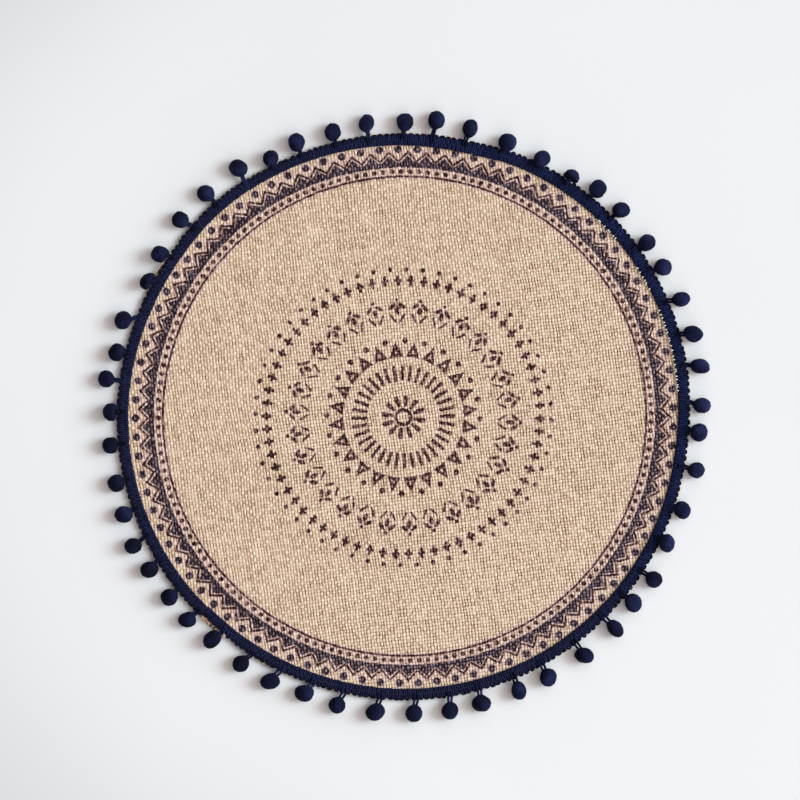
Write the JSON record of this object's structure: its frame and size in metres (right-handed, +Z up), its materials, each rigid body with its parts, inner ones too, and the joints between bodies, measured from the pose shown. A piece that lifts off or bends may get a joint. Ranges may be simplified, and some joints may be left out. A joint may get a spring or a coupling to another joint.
{
  "type": "round fabric placemat",
  "caption": "Round flat placemat of printed plain-woven jute, with a navy braid on its edge and small pompoms hanging from it all round.",
  "frame": {"origin": "at table level under the middle of the printed border, which is the middle of the mat", "axes": "+Z up out of the mat's printed face; +Y towards the far edge, at 12 o'clock of the picture; +X towards the right-hand edge"},
  "size_m": [0.4071, 0.4057, 0.0127],
  "materials": {
    "jute": "natural jute, coarse plain weave with slubs, printed in a dark plum-black; matte",
    "navy_yarn": "navy gimp braid and dense yarn pompoms; matte"
  },
  "bodies": {
    "root": {"cloth": "jute", "pompom_braid": "navy_yarn"}
  },
  "joints": []
}
